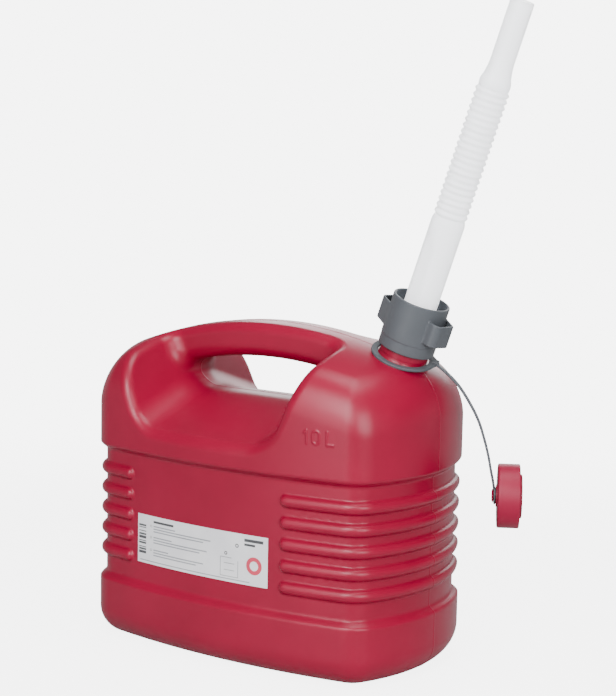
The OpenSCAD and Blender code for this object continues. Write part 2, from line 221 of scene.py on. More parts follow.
def make_camera():
    flat = math.cos(CAMERA_PITCH)
    back = Vector(
        (
            math.sin(CAMERA_AZIMUTH) * flat,
            -math.cos(CAMERA_AZIMUTH) * flat,
            math.sin(CAMERA_PITCH),
        )
    )
    level = Vector((math.cos(CAMERA_AZIMUTH), math.sin(CAMERA_AZIMUTH), 0))
    above = back.cross(level)
    right = level * math.cos(CAMERA_ROLL) + above * math.sin(CAMERA_ROLL)
    up = above * math.cos(CAMERA_ROLL) - level * math.sin(CAMERA_ROLL)
    data = bpy.data.cameras.new("camera")
    data.sensor_fit = "HORIZONTAL"
    data.sensor_width = CAMERA_SENSOR
    data.lens = CAMERA_LENS
    camera = bpy.data.objects.new("camera", data)
    turn = Matrix((right, up, back)).transposed().to_4x4()
    camera.matrix_world = Matrix.Translation(CAMERA_TARGET + back * CAMERA_DISTANCE) @ turn
    bpy.context.scene.collection.objects.link(camera)
    bpy.context.scene.camera = camera


# ---------------------------------------------------------------- meshes


def add_mesh(name, points, faces, body=None, slot=None, material=None, matrix=None, smooth=True):
    """Makes an object that rides on a body. matrix places points given in a part's own frame."""
    data = bpy.data.meshes.new(name)
    data.from_pydata([tuple(p) for p in points], [], [tuple(f) for f in faces])
    if matrix is not None:
        data.transform(matrix)
    data.validate()
    data.polygons.foreach_set("use_smooth", [smooth] * len(data.polygons))
    data.update()
    obj = bpy.data.objects.new(name, data)
    bpy.context.scene.collection.objects.link(obj)
    if material:
        data.materials.append(material)
    if body:
        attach(obj, body)
    return obj


def surface_net(field, axes):
    """Quads round the zero surface of a field, on a grid that may be finer in places."""
    grid = np.meshgrid(*axes, indexing="ij")
    value = field(*grid)
    cells = np.array(value.shape) - 1
    ids, spots, quads = [], [], []
    for a in range(3):
        b, c = (a + 1) % 3, (a + 2) % 3
        turned = np.moveaxis(value, (a, b, c), (0, 1, 2))
        low, high = turned[:-1, 1:-1, 1:-1], turned[1:, 1:-1, 1:-1]
        i, j, k = np.nonzero((low < 0) != (high < 0))
        start, end = low[i, j, k], high[i, j, k]
        share = start / (start - end)
        spot = np.empty((len(i), 3))
        spot[:, a] = axes[a][i] + share * (axes[a][i + 1] - axes[a][i])
        spot[:, b] = axes[b][j + 1]
        spot[:, c] = axes[c][k + 1]
        ring = []
        for dj, dk in ((0, 0), (1, 0), (1, 1), (0, 1)):
            cell = np.empty((len(i), 3), int)
            cell[:, a], cell[:, b], cell[:, c] = i, j + dj, k + dk
            ring.append((cell[:, 0] * cells[1] + cell[:, 1]) * cells[2] + cell[:, 2])
            ids.append(ring[-1])
            spots.append(spot)
        quad = np.stack(ring, 1)
        quad[start > 0] = quad[start > 0][:, ::-1]
        quads.append(quad)
    ids, spots, quads = np.concatenate(ids), np.concatenate(spots), np.concatenate(quads)
    used, inverse, count = np.unique(ids, return_inverse=True, return_counts=True)
    points = np.stack([np.bincount(inverse, spots[:, k]) for k in range(3)], 1) / count[:, None]
    return points, np.searchsorted(used, quads)


def slope(field, points, reach=2e-4):
    """The field's gradient at each point."""
    parts = []
    for k in range(3):
        ahead, behind = points.copy(), points.copy()
        ahead[:, k] += reach
        behind[:, k] -= reach
        parts.append((field(*ahead.T) - field(*behind.T)) / (2 * reach))
    return np.stack(parts, 1)


def settle(field, points, quads, rounds=4, most=6e-4):
    """Moves the points on to the field's zero surface and evens out their spacing along it."""
    edges = np.concatenate([quads[:, [k, (k + 1) % 4]] for k in range(4)])
    degree = np.bincount(edges[:, 0], minlength=len(points))[:, None]
    for turn in range(rounds):
        grade = slope(field, points)
        steep = np.maximum((grade**2).sum(1), 0.04)
        move = -(field(*points.T) / steep)[:, None] * grade
        reach = np.linalg.norm(move, axis=1)
        points = points + move * np.minimum(1, most / np.maximum(reach, 1e-9))[:, None]
        if turn < rounds - 2:
            near = np.stack(
                [np.bincount(edges[:, 0], points[edges[:, 1], k], len(points)) for k in range(3)], 1
            )
            pull = near / degree - points
            normal = grade / np.sqrt(steep)[:, None]
            points = points + 0.5 * (pull - (pull * normal).sum(1)[:, None] * normal)
    return points


def spaced(low, high, step, fine=()):
    """Grid places from low to high, step apart, or closer within each (from, to, step) of fine."""
    places = [low]
    while places[-1] < high:
        here = [s for a, b, s in fine if a <= places[-1] < b]
        ahead = [a for a, b, s in fine if a > places[-1]]
        gap = min([step] + here)
        if ahead and not here:
            gap = min(gap, max(min(ahead) - places[-1], 1e-4))
        places.append(places[-1] + gap)
    return np.array(places)


def moulded(name, field, axes, body, slot, material, matrix=None, rounds=4):
    points, quads = surface_net(field, axes)
    points = settle(field, points, quads, rounds)
    return add_mesh(name, points, quads, body, slot, material, matrix)


def rounded_corners(outline, steps=5):
    """Replaces each (r, z, radius) corner of a closed outline with an arc of that radius."""
    result = []
    count = len(outline)
    for k, (r, z, radius) in enumerate(outline):
        here = Vector((r, z))
        before = Vector(outline[k - 1][:2]) - here
        after = Vector(outline[(k + 1) % count][:2]) - here
        if radius <= 0 or before.length < 1e-7 or after.length < 1e-7:
            result.append((r, z))
            continue
        half = before.angle(after) / 2
        cut = min(radius / math.tan(half), before.length * 0.49, after.length * 0.49)
        start = here + before.normalized() * cut
        end = here + after.normalized() * cut
        for s in range(steps + 1):
            t = s / steps
            spot = start * (1 - t) ** 2 + here * (2 * t * (1 - t)) + end * t**2
            result.append((spot.x, spot.y))
    return result


def revolve(name, outline, body, slot, material, matrix, around, wobble=None):
    """Turns a closed outline of (radius, height) about the part's own Z axis."""
    points, faces = [], []
    rows = len(outline)
    for k in range(around):
        turn = 2 * math.pi * k / around
        for r, z in outline:
            if wobble:
                r += wobble(turn, r, z)
            points.append((r * math.cos(turn), r * math.sin(turn), z))
    for k in range(around):
        a, b = k * rows, (k + 1) % around * rows
        for j in range(rows):
            i = (j + 1) % rows
            faces.append((a + j, b + j, b + i, a + i))
    return add_mesh(name, points, faces, body, slot, material, matrix)


# ---------------------------------------------------------------- fields


def smooth(t):
    t = np.clip(t, 0, 1)
    return t * t * (3 - 2 * t)


def both(a, b, r):
    """Where two shapes overlap, with an edge of radius r."""
    u, v = np.maximum(a + r, 0), np.maximum(b + r, 0)
    return np.minimum(np.maximum(a, b), -r) + np.sqrt(u * u + v * v)


def either(a, b, r):
    """Two shapes joined, with a fillet of radius r."""
    return -both(-a, -b, r)


def plan_shape():
    """Centres and radii of the three arcs in a quarter of the tank's plan."""
    front_r = HALF_LENGTH**2 / (2 * BOW_FRONT)
    end_r = HALF_WIDTH**2 / (2 * BOW_END)
    front = Vector((0, HALF_WIDTH - front_r))
    end = Vector((HALF_LENGTH - end_r, 0))
    ra, rb = front_r - CORNER_R, end_r - CORNER_R
    apart = (end - front).length
    along = (apart**2 + ra**2 - rb**2) / (2 * apart)
    rise = math.sqrt(ra**2 - along**2)
    way = (end - front) / apart
    corner = front + way * along + Vector((way.y, -way.x)) * rise
    return front, front_r, end, end_r, corner


FRONT, FRONT_R, END, END_R, CORNER = plan_shape()


def plan(x, y):
    """Distance outside the tank's plan, and the share of the wall's direction along X."""
    x, y = np.abs(x), np.abs(y)
    to_end = (CORNER - END).normalized()
    to_front = (CORNER - FRONT).normalized()
    cx, cy = x - CORNER.x, y - CORNER.y
    is_front = cx * to_front.y - cy * to_front.x <= 0
    is_end = to_end.x * cy - to_end.y * cx <= 0
    px = np.where(is_front, x - FRONT.x, np.where(is_end, x - END.x, cx))
    py = np.where(is_front, y - FRONT.y, np.where(is_end, y - END.y, cy))
    radius = np.where(is_front, FRONT_R, np.where(is_end, END_R, CORNER_R))
    length = np.sqrt(px * px + py * py) + 1e-9
    return length - radius, px / length


def ribs(x, z):
    """Height of the ribs over the waist."""
    k = np.clip(np.round((z - RIB_FIRST) / RIB_PITCH), 0, RIB_COUNT - 1)
    dz = z - RIB_FIRST - k * RIB_PITCH
    half = RIB_WIDTH / 2
    radius = (half**2 + RIB_HEIGHT**2) / (2 * RIB_HEIGHT)
    past = np.maximum(np.minimum(RIB_STOP_RIGHT + half - x, x - RIB_STOP_LEFT + half), 0)
    bump = np.sqrt(np.maximum(radius**2 - dz**2 - past**2, 0)) - (radius - RIB_HEIGHT)
    return -either(-bump, 0, 0.0012)


def walls(x, y, z):
    """The sides, with the base band, the recessed waist, the ribs and the upper section."""
    out, _ = plan(x, y)
    half = STEP_HEIGHT / 2
    waist = smooth((z - WAIST_FOOT + half) / STEP_HEIGHT)
    waist = waist * smooth((WAIST_HEAD + half - z) / STEP_HEIGHT)
    return out + WAIST_DEPTH * waist - ribs(x, z) * (waist > 0)


def crown(x, y, z):
    """The domed top: a round section swept along the crown line, and straight below DOME_STEEP."""
    reach = np.sqrt(x * x + (z - CROWN + CROWN_R) ** 2) - CROWN_R + DOME_R
    side = np.abs(y)
    c, s = math.cos(DOME_STEEP), math.sin(DOME_STEEP)
    return np.where(side * c > reach * s, side * s + reach * c, np.hypot(side, reach)) - DOME_R


def grip(x, y, z):
    """The room that the grip takes up in the scoops. Its top is left to the crown."""
    side = np.abs(y) - GRIP_WIDTH / 2
    under = CROWN_R - GRIP_DEPTH - np.sqrt(x * x + (z - CROWN + CROWN_R) ** 2)
    return both(side, under, GRIP_CORNER)


def scoops(x, y, z):
    """The two scoops and the hand hole, with the grip left standing."""
    beyond = np.abs(y) - SCOOP_HUMP
    drop = SCOOP_SLOPE * (beyond + np.sqrt(beyond * beyond + 0.006**2)) / 2
    up = z - SCOOP_FLOOR + drop
    lean, rise = math.cos(SCOOP_FLARE), math.sin(SCOOP_FLARE)
    x0, x1 = SCOOP_X0 + SCOOP_CORNER / 2, SCOOP_X1 - SCOOP_CORNER / 2
    left = -(x - x0) * lean - (up - SCOOP_CORNER) * rise - SCOOP_CORNER
    right = (x - x1) * lean - (up - SCOOP_CORNER) * rise - SCOOP_CORNER
    hollow = both(np.maximum(left, right), -up, SCOOP_CORNER)
    return both(hollow, -grip(x, y, z), GRIP_FILLET)


def in_neck(x, y, z):
    """Coordinates in the neck's own frame."""
    dx, dz = x - NECK_AT.x, z - NECK_AT.z
    c, s = math.cos(NECK_TILT), math.sin(NECK_TILT)
    return dx * c - dz * s, y, dx * s + dz * c


STROKE = 0.0007
MARK_RAISE = 0.0005
MARK_LOW, MARK_HIGH = 0.2070, 0.2178
MARK_ONE, MARK_ZERO, MARK_L = 0.0925, 0.1010, 0.1110


def bar(x, z, x0, z0, x1, z1):
    """Distance to a straight stroke."""
    dx, dz = x1 - x0, z1 - z0
    t = np.clip(((x - x0) * dx + (z - z0) * dz) / (dx * dx + dz * dz), 0, 1)
    return np.hypot(x - x0 - t * dx, z - z0 - t * dz)


def capacity_mark(x, y, z):
    """Height of the capacity mark moulded on the front, a one, a nought and an L."""
    low, high = MARK_LOW, MARK_HIGH
    one = np.minimum(
        bar(x, z, MARK_ONE, low, MARK_ONE, high),
        bar(x, z, MARK_ONE - 0.0022, high - 0.0022, MARK_ONE, high),
    )
    r = 0.0030
    rise = np.maximum(np.abs(z - (low + high) / 2) - (high - low) / 2 + r, 0)
    nought = np.abs(np.hypot(x - MARK_ZERO, rise) - r)
    ell = np.minimum(
        bar(x, z, MARK_L, low, MARK_L, high), bar(x, z, MARK_L, low, MARK_L + 0.0052, low)
    )
    near = np.minimum(np.minimum(one, nought), ell)
    return MARK_RAISE * smooth(1.5 - near / STROKE / 1.3) * (y < 0)


def tank_field(x, y, z):
    """The whole tank, up to a stub inside the neck."""
    _, along = plan(x, y)
    edge = EDGE_R + (SHOULDER_R - EDGE_R) * smooth(np.abs(along) * 1.25 - 0.2)
    body = both(walls(x, y, z), -z, BASE_R)
    body = both(body, crown(x, y, z), edge)
    body = both(body, -scoops(x, y, z), SCOOP_EDGE)
    nx, ny, nz = in_neck(x, y, z)
    low, high = NECK_STUB
    stub = np.maximum(np.hypot(nx, ny) - NECK_R + 1e-4, np.maximum(nz - high, low - nz))
    body = either(body, stub, NECK_FILLET)
    seam = SEAM_HEIGHT * np.exp(-((y / SEAM_WIDTH) ** 2))
    return body - seam - capacity_mark(x, y, z)


# ---------------------------------------------------------------- materials


class Nodes:
    """A material's nodes, made and linked in short calls."""

    def __init__(self, name):
        self.material = bpy.data.materials.new(name)
        self.material.use_nodes = True
        self.tree = self.material.node_tree
        self.shader = self.tree.nodes["Principled BSDF"]
        self.place = self.tree.nodes.new("ShaderNodeTexCoord").outputs["Object"]

    def link(self, output, target):
        self.tree.links.new(output, target)

    def set(self, **values):
        for name, value in values.items():
            self.shader.inputs[name.replace("_", " ")].default_value = value

    def noise(self, scale, detail=3.0, roughness=0.5):
        node = self.tree.nodes.new("ShaderNodeTexNoise")
        node.inputs["Scale"].default_value = scale
        node.inputs["Detail"].default_value = detail
        node.inputs["Roughness"].default_value = roughness
        self.link(self.place, node.inputs["Vector"])
        return node.outputs["Fac"]

    def ramp(self, output, stops):
        node = self.tree.nodes.new("ShaderNodeValToRGB")
        for _ in stops[2:]:
            node.color_ramp.elements.new(0.5)
        for element, (place, colour) in zip(node.color_ramp.elements, stops):
            element.position = place
            element.color = (*colour, 1)
        self.link(output, node.inputs["Fac"])
        return node.outputs["Color"]

    def spread(self, output, low, high):
        node = self.tree.nodes.new("ShaderNodeMapRange")
        node.inputs["To Min"].default_value = low
        node.inputs["To Max"].default_value = high
        self.link(output, node.inputs["Value"])
        return node.outputs["Result"]

    def bump(self, height, distance, strength=1.0, after=None):
        node = self.tree.nodes.new("ShaderNodeBump")
        node.inputs["Distance"].default_value = distance
        node.inputs["Strength"].default_value = strength
        self.link(height, node.inputs["Height"])
        if after:
            self.link(after, node.inputs["Normal"])
        return node.outputs["Normal"]


def moulded_plastic(name, dark, light, gloss, grain):
    """Satin plastic: a little colour drift, uneven gloss, a fine grain and a slow ripple."""
    n = Nodes(name)
    n.link(n.ramp(n.noise(18, 4), [(0.3, dark), (0.7, light)]), n.shader.inputs["Base Color"])
    n.link(n.spread(n.noise(60, 3), *gloss), n.shader.inputs["Roughness"])
    fine = n.bump(n.noise(1500, 2), grain, 0.5)
    n.link(n.bump(n.noise(70, 2), grain * 3, 0.25, fine), n.shader.inputs["Normal"])
    n.set(IOR=1.5, Specular_IOR_Level=0.3)
    return n.material


def natural_plastic():
    """Unpigmented plastic that lets light through and scatters it, with a faint painted glow that
    brightens it evenly.
    """
    n = Nodes("natural_plastic")
    stops = [(0.3, (0.90, 0.91, 0.94)), (0.7, (0.95, 0.96, 0.98))]
    n.link(n.ramp(n.noise(30, 3), stops), n.shader.inputs["Base Color"])
    n.link(n.spread(n.noise(90, 3), 0.28, 0.42), n.shader.inputs["Roughness"])
    n.link(n.bump(n.noise(300, 2), 1e-5, 0.5), n.shader.inputs["Normal"])
    n.set(IOR=1.5, Transmission_Weight=0.45, Subsurface_Weight=0.5, Subsurface_Scale=0.006)
    # Painted glow: an even emission that lightens the spout's plastic, though the spout is no lamp.
    n.set(Emission_Color=(1, 1, 1, 1), Emission_Strength=0.4)
    n.shader.inputs["Subsurface Radius"].default_value = (1.0, 1.0, 1.0)
    return n.material


def film(name, dark, light, gloss):
    """Printed film: near even in colour, with a very slight ripple."""
    n = Nodes(name)
    n.link(n.ramp(n.noise(40, 3), [(0.35, dark), (0.65, light)]), n.shader.inputs["Base Color"])
    n.link(n.spread(n.noise(80, 2), *gloss), n.shader.inputs["Roughness"])
    n.link(n.bump(n.noise(120, 2), 2e-5, 0.3), n.shader.inputs["Normal"])
    return n.material


def rubber():
    n = Nodes("black_rubber")
    stops = [(0.3, (0.012, 0.012, 0.013)), (0.7, (0.022, 0.022, 0.024))]
    n.link(n.ramp(n.noise(90, 4), stops), n.shader.inputs["Base Color"])
    n.link(n.spread(n.noise(200, 3), 0.6, 0.8), n.shader.inputs["Roughness"])
    n.link(n.bump(n.noise(2500, 2), 2e-5, 0.6), n.shader.inputs["Normal"])
    return n.material


RED = moulded_plastic(
    "red_plastic", (0.205, 0.0, 0.019), (0.240, 0.0, 0.023), (0.30, 0.38), 2e-5
)
CAP_RED = moulded_plastic(
    "cap_plastic", (0.20, 0.0, 0.021), (0.23, 0.0, 0.025), (0.42, 0.52), 1e-5
)
GREY = moulded_plastic(
    "grey_plastic", (0.060, 0.067, 0.076), (0.074, 0.081, 0.091), (0.40, 0.52), 1e-5
)
NATURAL = natural_plastic()
FILM = film("label_film", (0.66, 0.66, 0.69), (0.72, 0.72, 0.74), (0.25, 0.34))
INK = film("label_ink", (0.045, 0.048, 0.052), (0.065, 0.068, 0.072), (0.30, 0.38))
PALE_INK = film("label_pale_ink", (0.24, 0.25, 0.27), (0.30, 0.31, 0.33), (0.30, 0.38))
RED_INK = film("label_red_ink", (0.50, 0.03, 0.07), (0.58, 0.05, 0.09), (0.30, 0.38))
RUBBER = rubber()

# ---------------------------------------------------------------- tether


def on_route(out, height):
    return NECK_AT + OUTWARD * out + Vector((0, 0, height))


def smooth_line(points, steps):
    """A curve through the points, with steps between each pair."""
    result = []
    for k in range(len(points) - 1):
        a, b = points[max(k - 1, 0)], points[k]
        c, d = points[k + 1], points[min(k + 2, len(points) - 1)]
        for s in range(steps):
            t = s / steps
            result.append(
                0.5 * (2 * b + (c - a) * t + (2 * a - 5 * b + 4 * c - d) * t**2
                       + (3 * b - a - 3 * c + d) * t**3)
            )
    return result + [points[-1]]


def strap_section(width, thick, steps=6):
    """Points round a flat section whose edges are rounded."""
    r = thick * 0.42
    result = []
    for quarter, (sx, sz) in enumerate(((1, 1), (-1, 1), (-1, -1), (1, -1))):
        for s in range(steps + 1):
            turn = (quarter + s / steps) * math.pi / 2
            across = sx * (width / 2 - r) + r * math.cos(turn)
            result.append((across, sz * (thick / 2 - r) + r * math.sin(turn)))
    return result


def make_strap():
    """The flat strap, a free cord from the ring down to the eyelet."""
    route = [on_route(*p) for p in ROUTE]
    inside = on_route(ROUTE[0][0] - 0.004, ROUTE[0][1] + 0.0012)
    tuck = on_route(EYELET_AT_OUT, ROUTE[-1][1] - 0.0022)
    line = smooth_line([inside, *route, tuck], 6)
    ring = strap_section(STRAP_WIDTH, STRAP_THICK)
    points, faces = [], []
    for k, spot in enumerate(line):
        way = (line[min(k + 1, len(line) - 1)] - line[max(k - 1, 0)]).normalized()
        out = way.cross(ACROSS).normalized()
        points += [spot + ACROSS * a + out * b for a, b in ring]
    count = len(ring)
    for k in range(len(line) - 1):
        for j in range(count):
            a, b = k * count + j, k * count + (j + 1) % count
            faces.append((a, a + count, b + count, b))
    faces.append(tuple(range(count)))
    faces.append(tuple(reversed(range((len(line) - 1) * count, len(line) * count))))
    strap = add_mesh("tether_strap_band", points, faces, None, "grey_plastic", GREY)
    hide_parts("tether_strap")
    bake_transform(strap)
    return strap, smooth_line(route, 3)


def ring_field(x, y, z):
    """The loose ring and the tab that runs from it into the strap."""
    turn = STRAP_TURN - 0.03
    along = x * math.cos(turn) + y * math.sin(turn)
    across = np.abs(-x * math.sin(turn) + y * math.cos(turn))
    ring = np.abs(np.hypot(x, y) - (RING_R + RING_HOLE) / 2) - (RING_R - RING_HOLE) / 2
    spread = 0.012 - (along - RING_R + 0.008) * 0.85
    tab = np.maximum(across - np.maximum(spread, STRAP_WIDTH / 2), along - TAB_END)
    tab = np.maximum(tab, RING_HOLE - np.hypot(x, y))
    tab = np.maximum(tab, TAB_START - along)
    flat = either(ring, tab, 0.004)
    flat = np.maximum(flat, RING_HOLE - np.hypot(x, y))
    return both(flat, np.abs(z) - RING_THICK / 2, 0.0006)


def make_tether():
    step = 0.0005 if FINE else 0.0009
    axes = [
        spaced(-0.03, 0.034, step), spaced(-0.03, 0.03, step), spaced(-0.002, 0.002, step * 0.6)
    ]
    ring = moulded("tether_loose_ring", ring_field, axes, "tether", "grey_plastic", GREY, ON_RING)
    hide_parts("tether_ring")
    strap, path = make_strap()
    half = EYELET_THICK / 2
    outline = rounded_corners([
        (STUD_R + 0.0001, -half, 0.0002), (EYELET_R, -half, 0.0006),
        (EYELET_R, half, 0.0006), (STUD_R + 0.0001, half, 0.0002),
    ])
    eyelet = revolve("tether_eyelet", outline, "strap", "grey_plastic", GREY, ON_EYELET, 64)
    return strap, path, eyelet


# ---------------------------------------------------------------- cap


def make_cap():
    hub = EYELET_THICK / 2 + EYELET_GAP
    face = hub + HUB_THICK
    rim = face + CAP_HEIGHT
    inner = face + CAP_TOP
    shell = rounded_corners([
        (0.0002, hub, 0), (HUB_R, hub, 0.0005), (HUB_R, face, 0.0004),
        (CAP_R, face, 0.0016), (CAP_R, rim, 0.0012), (CAP_BORE, rim, 0.0006),
        (CAP_BORE, inner, 0.0005), (PLUG_R, inner, 0.0004), (PLUG_R, rim + PLUG_OUT, 0.0006),
        (PLUG_R - PLUG_WALL, rim + PLUG_OUT, 0.0006), (PLUG_R - PLUG_WALL, inner, 0.0006),
        (0.0002, inner, 0),
    ])
    cap = revolve("screw_cap_shell", shell, "cap", "cap_plastic", CAP_RED, ON_EYELET, 160)
    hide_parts("screw_cap")
    top = hub + STUD_HEAD
    stud = rounded_corners([
        (0.0002, -top, 0), (STUD_HEAD_R * 0.72, -top, 0.0012),
        (STUD_HEAD_R, -hub - 0.0003, 0.0006), (STUD_HEAD_R - 0.0003, -hub, 0.0001),
        (STUD_R, -hub, 0.0001), (STUD_R, hub + 0.0005, 0), (0.0002, hub + 0.0005, 0),
    ])
    revolve("screw_cap_stud", stud, "cap", "cap_plastic", CAP_RED, ON_EYELET, 64)
    return cap


def make_gaskets():
    """Both gaskets keep their CAD mesh and get the rubber."""
    for name in ("cap_gasket", "spout_gasket"):
        materials = frame["nodes"][name].data.materials
        materials.clear()
        materials.append(RUBBER)


# ---------------------------------------------------------------- collar


def ear_outline(x, y):
    """Distance outside an ear: it leaves the collar on a tangent and comes straight back in."""
    low, high = EAR_SPAN
    a, lean = math.hypot(EAR_OUT, high), math.atan2(high, EAR_OUT)
    turn = lean + math.acos((COLLAR_R - EAR_R) / a)
    near = (COLLAR_R - EAR_R) * math.cos(turn), (COLLAR_R - EAR_R) * math.sin(turn)
    corners = [(0, low), (EAR_OUT, low), (EAR_OUT, high), near, (0, 0)]
    distance = np.full(x.shape, 1e9)
    outside = np.full(x.shape, -1e9)
    for k, (ax, ay) in enumerate(corners):
        bx, by = corners[(k + 1) % len(corners)]
        ex, ey = bx - ax, by - ay
        t = np.clip(((x - ax) * ex + (y - ay) * ey) / (ex * ex + ey * ey), 0, 1)
        distance = np.minimum(distance, np.hypot(x - ax - t * ex, y - ay - t * ey))
        outside = np.maximum(outside, ((x - ax) * ey - (y - ay) * ex) / math.hypot(ex, ey))
    return np.where(outside > 0, distance, -distance) - EAR_R


def collar_field(x, y, z):
    """The collar: a threaded skirt, a shelf, a cup above it and two hollow ears."""
    radius = np.hypot(x, y)
    step = 0.0003 * smooth((COLLAR_LOW + COLLAR_GROOVE - z) / 0.0008 + 0.5)
    top = COLLAR_LOW + COLLAR_HEIGHT
    outer = both(radius - COLLAR_R + step, np.maximum(z - top, COLLAR_LOW - z), 0.0007)
    turn = 2 * math.pi
    height = (z - THREAD_START) / THREAD_LEAD - np.arctan2(y, x) / turn - 0.5
    off = np.abs(height - np.round(height)) * THREAD_LEAD
    start, end = COLLAR_THREAD
    ridge = THREAD_CREST * smooth((0.0017 - off) / 0.0009) * (z > start) * (z < end)
    bore = np.maximum(radius - COLLAR_BORE + ridge, z - SHELF_LOW)
    hole = radius - TUBE_R - TUBE_SLACK
    cup = np.maximum(radius - COLLAR_R + CUP_WALL, SHELF_LOW + SHELF_THICK - z)
    result = both(outer, -np.minimum(np.minimum(bore, hole), cup), 0.0006)
    for side in (0, math.pi):
        c, s = math.cos(side - EAR_TURN), math.sin(side - EAR_TURN)
        ex, ey = x * c + y * s, -x * s + y * c
        whole = ear_outline(ex, ey)
        hollow = np.maximum(whole + EAR_WALL, COLLAR_R - 0.001 - radius)
        ear = both(whole, -hollow, 0.0006)
        ear = both(ear, np.abs(z - EAR_LOW - EAR_HEIGHT / 2) - EAR_HEIGHT / 2, 0.0007)
        ear = np.maximum(ear, COLLAR_R - 0.002 - radius)
        result = either(result, ear, 0.0009)
    return result


def make_collar():
    step = 0.00045 if FINE else 0.0009
    reach = COLLAR_R + 0.0125
    axes = [
        spaced(-reach, reach, step), spaced(-reach, reach, step),
        spaced(COLLAR_LOW - 0.002, COLLAR_LOW + COLLAR_HEIGHT + 0.002, step),
    ]
    collar = moulded("collar_shell", collar_field, axes, "collar", "grey_plastic", GREY, ON_NECK)
    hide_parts("locking_collar")


# ---------------------------------------------------------------- spout

FOLD_LENGTH = FOLD_COUNT * FOLD_PITCH
CONE_START = TUBE_END + 3 * FOLD_LENGTH
OUTLET_START = CONE_START + CONE_LENGTH
TIP = OUTLET_START + OUTLET_LENGTH
FOLD_ROOT = TUBE_R - FOLD_DEPTH


def folds(start, count, steps=12):
    """Outline of the bellows' convolutions."""
    result = []
    for k in range(count * steps + 1):
        turn = k / steps
        wave = 0.5 - 0.5 * math.cos(2 * math.pi * turn)
        result.append((FOLD_ROOT + FOLD_DEPTH * wave**0.8, start + turn * FOLD_PITCH))
    return result


def walled(outside, wall=SPOUT_WALL):
    """A closed outline: the outside, then back down the inside."""
    return outside + [(r - wall, z) for r, z in reversed(outside)]


def flute(turn, r, z):
    """A shallow flat along the lower tube, which ends in a slanting run-out."""
    if z < NECK_HEIGHT or z > TUBE_END - 0.004:
        return 0
    off = (turn - FLUTE_FACING + math.pi) % (2 * math.pi) - math.pi
    end = TUBE_END - 0.018 - 0.010 * off
    fade = min(max((end - z) / 0.012, 0), 1)
    fade = fade * fade * (3 - 2 * fade)
    if abs(off) > FLUTE_WIDTH:
        return 0
    flat = TUBE_R * (1 - math.cos(FLUTE_WIDTH)) * 0.55
    return -fade * flat * (0.5 + 0.5 * math.cos(math.pi * off / FLUTE_WIDTH))


def make_spout():
    seat = NECK_HEIGHT + GASKET_THICK
    shelf = seat + FLANGE_THICK
    steps = 60
    tube = []
    for k in range(steps + 1):
        t = k / steps
        z = shelf + 0.001 + (TUBE_END - shelf - 0.001) * t
        narrow = min(max((z - TUBE_END + 0.006) / 0.006, 0), 1)
        tube.append((TUBE_R + (FOLD_ROOT - TUBE_R) * narrow**2, z))
    skirt_r = NECK_R - NECK_WALL - SKIRT_GAP
    skirt_low = seat - SKIRT_LENGTH
    outline = rounded_corners([
        (skirt_r - SPOUT_WALL, skirt_low, 0.0004), (skirt_r, skirt_low, 0.0004),
        (skirt_r, seat, 0.0003), (FLANGE_R, seat, 0.0004), (FLANGE_R, shelf, 0.0006),
        (TUBE_R, shelf, 0.0008),
    ])
    outline += tube
    outline += [(r - SPOUT_WALL, z) for r, z in reversed(tube)]
    outline += [(TUBE_R - SPOUT_WALL, seat)]
    base = revolve(
        "spout_lower_tube", outline, "spout", "natural_plastic", NATURAL, ON_NECK, 144, flute
    )
    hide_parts("spout_base")

    first = revolve(
        "spout_bellows_near", walled(folds(TUBE_END, NEAR_FOLDS)), None, "natural_plastic", NATURAL,
        ON_NECK, 96,
    )
    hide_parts("bellows_lower", "bellows_middle")
    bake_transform(first)
    middle = TUBE_END + NEAR_FOLDS * FOLD_PITCH
    second = revolve(
        "spout_bellows_far", walled(folds(middle, FAR_FOLDS)), None, "natural_plastic", NATURAL,
        ON_NECK, 96,
    )
    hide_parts("bellows_upper")
    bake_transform(second)
    cone = []
    for k in range(25):
        t = k / 24
        ease = t * t * (3 - 2 * t)
        bulge = 0.0008 * math.sin(math.pi * min(t * 2.2, 1))
        r = FOLD_ROOT + (OUTLET_R - FOLD_ROOT) * ease + bulge
        cone.append((r, CONE_START + CONE_LENGTH * t))
    cone += [(OUTLET_R, OUTLET_START + OUTLET_LENGTH * k / 10) for k in range(1, 10)]
    cone += [(OUTLET_R, TIP - 0.0006), (OUTLET_R - 0.0006, TIP)]
    inside = [(r - SPOUT_WALL, z) for r, z in reversed(cone[:-1])]
    outlet = revolve(
        "spout_outlet_tube", cone + inside, "spout_end", "natural_plastic", NATURAL, ON_NECK, 96
    )
    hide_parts("spout_outlet")


# ---------------------------------------------------------------- tank


def make_tank():
    step = 0.0016 if FINE else 0.003
    edge = 0.004
    z_fine = [(MARK_LOW - 0.0015, MARK_HIGH + 0.0015, 0.0005)] if FINE else []
    x_fine = [(MARK_ONE - 0.004, MARK_L + 0.007, 0.0005)] if FINE else []
    axes = [
        spaced(-HALF_LENGTH - edge, HALF_LENGTH + edge, step, x_fine),
        spaced(-HALF_WIDTH - edge, HALF_WIDTH + edge, step, [(-0.0016, 0.0016, 0.0004)]),
        spaced(-edge, CROWN + 0.012, step, z_fine),
    ]
    shell = moulded("tank_shell", tank_field, axes, "can", "red_plastic", RED, None, 5)
    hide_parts("tank_base", "tank_waist", "tank_shoulders")
    make_neck()


